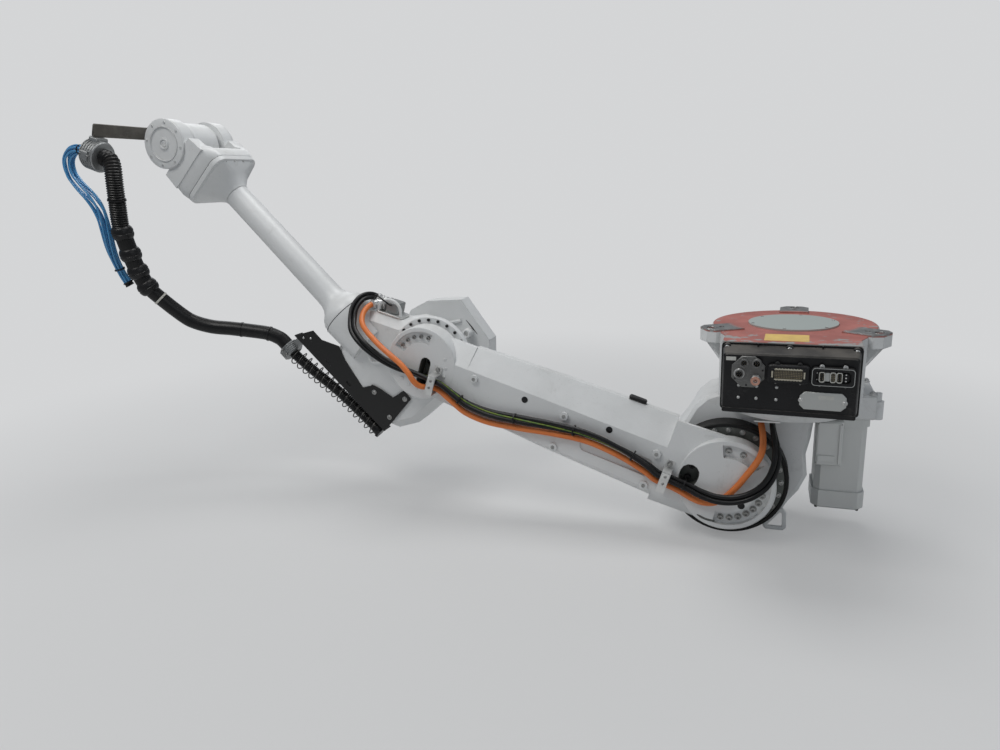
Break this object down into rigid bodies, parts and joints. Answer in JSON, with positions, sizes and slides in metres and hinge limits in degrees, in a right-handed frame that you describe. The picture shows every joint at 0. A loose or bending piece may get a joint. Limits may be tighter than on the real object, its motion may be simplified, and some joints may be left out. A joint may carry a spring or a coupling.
{
  "type": "industrial robot arm",
  "caption": "Large jointed industrial robot arm with a flanged base, offset lower arm, elbow with motor hood, slim tube to a forked wrist, and cables and hoses along its side.",
  "frame": {"origin": "centre of the base's mounting face, on the first joint's axis", "axes": "+Z out of the mounting face, toward what the arm is bolted to; the arm hangs below it as an inverted mount and reaches along -X at rest; the viewer of the picture stands on the -Y side"},
  "size_m": [2.7932, 0.8269, 1.4369],
  "materials": {
    "white_paint": "satin",
    "motor_paint": "satin",
    "disc_paint": "satin",
    "grey_plate": "satin",
    "black_moulding": "satin",
    "black_sheet": "satin",
    "black_rubber": "matte",
    "black_jacket": "satin",
    "machined_steel": "satin",
    "bare_bar": "satin",
    "bright_metal": "satin",
    "brass_socket": "satin",
    "orange_jacket": "satin",
    "blue_tubes": "gloss"
  },
  "bodies": {
    "base": {"base_casting": "white_paint", "base_cover_disc": "disc_paint", "connector_cover": "black_moulding", "round_connector_plate": "grey_plate", "signal_connector": "brass_socket", "multi_pin_connector": "black_moulding", "modular_connector": "black_moulding", "connector_blanking_plate": "grey_plate"},
    "turret": {"turret_frame": "white_paint", "axis1_motor": "motor_paint", "axis1_motor_box": "motor_paint", "axis2_gearbox_ring": "white_paint", "axis2_seal": "black_rubber", "axis2_motor": "motor_paint", "lifting_lug": "bright_metal", "turret_cable_strap": "bright_metal"},
    "lower_arm": {"lower_arm_casting": "white_paint", "lower_arm_cap": "black_moulding", "cable_clamp_axis2": "bright_metal", "cable_clamp_axis3": "bright_metal", "power_cable_axis2_loop": "orange_jacket", "signal_cables_axis2_loop": "black_jacket", "power_cable_arm_run": "orange_jacket", "signal_cables_arm_run": "black_jacket", "power_cable_axis3_loop": "orange_jacket", "signal_cables_axis3_loop": "black_jacket"},
    "upper_arm": {"elbow_housing": "white_paint", "axis3_gearbox_ring": "white_paint", "axis3_motor_hood": "white_paint", "elbow_connector_base": "bright_metal", "elbow_connector_block": "black_moulding", "elbow_connector_hoop": "black_sheet", "hose_tray": "black_sheet", "tray_bracket": "black_sheet", "tray_hose_clamp": "bright_metal", "tray_hose": "black_rubber", "wrist_hose": "black_rubber", "air_tube_bundle": "blue_tubes"},
    "wrist_arm": {"arm_tube": "white_paint", "wrist_fork": "white_paint", "wrist_cover_near": "white_paint", "wrist_cover_far": "white_paint"},
    "wrist_tilt": {"tilt_housing": "white_paint"},
    "tool": {"tool_flange_disc": "machined_steel", "tool_bar": "bare_bar", "hose_clamp": "bright_metal"}
  },
  "joints": [
    {"name": "axis1", "type": "hinge", "parent": "base", "child": "turret", "pos_m": [0, 0, 0], "axis": [0, 0, 1], "range_deg": [-273, 87]},
    {"name": "axis2", "type": "hinge", "parent": "turret", "child": "lower_arm", "pos_m": [-0.175, 0, -0.495], "axis": [0, 1, 0], "range_deg": [-198.6, 11.4], "deforming": ["power_cable_axis2_loop", "signal_cables_axis2_loop"]},
    {"name": "axis3", "type": "hinge", "parent": "lower_arm", "child": "upper_arm", "pos_m": [-1.21281, 0, -0.14574], "axis": [0, -1, 0], "range_deg": [-125, 117.7], "deforming": ["power_cable_axis3_loop", "signal_cables_axis3_loop"]},
    {"name": "axis4", "type": "hinge", "parent": "upper_arm", "child": "wrist_arm", "pos_m": [-1.33933, 0, -0.26664], "axis": [-0.6909, 0, 0.723], "range_deg": [-400, 400]},
    {"name": "axis5", "type": "hinge", "parent": "wrist_arm", "child": "wrist_tilt", "pos_m": [-2.21674, 0, 0.65152], "axis": [0, 1, 0], "range_deg": [-98.3, 146.7], "deforming": ["wrist_hose", "air_tube_bundle"]},
    {"name": "axis6", "type": "hinge", "parent": "wrist_tilt", "child": "tool", "pos_m": [-2.21674, 0, 0.65152], "axis": [-0.9421, 0, 0.3355], "range_deg": [-360, 360]}
  ]
}
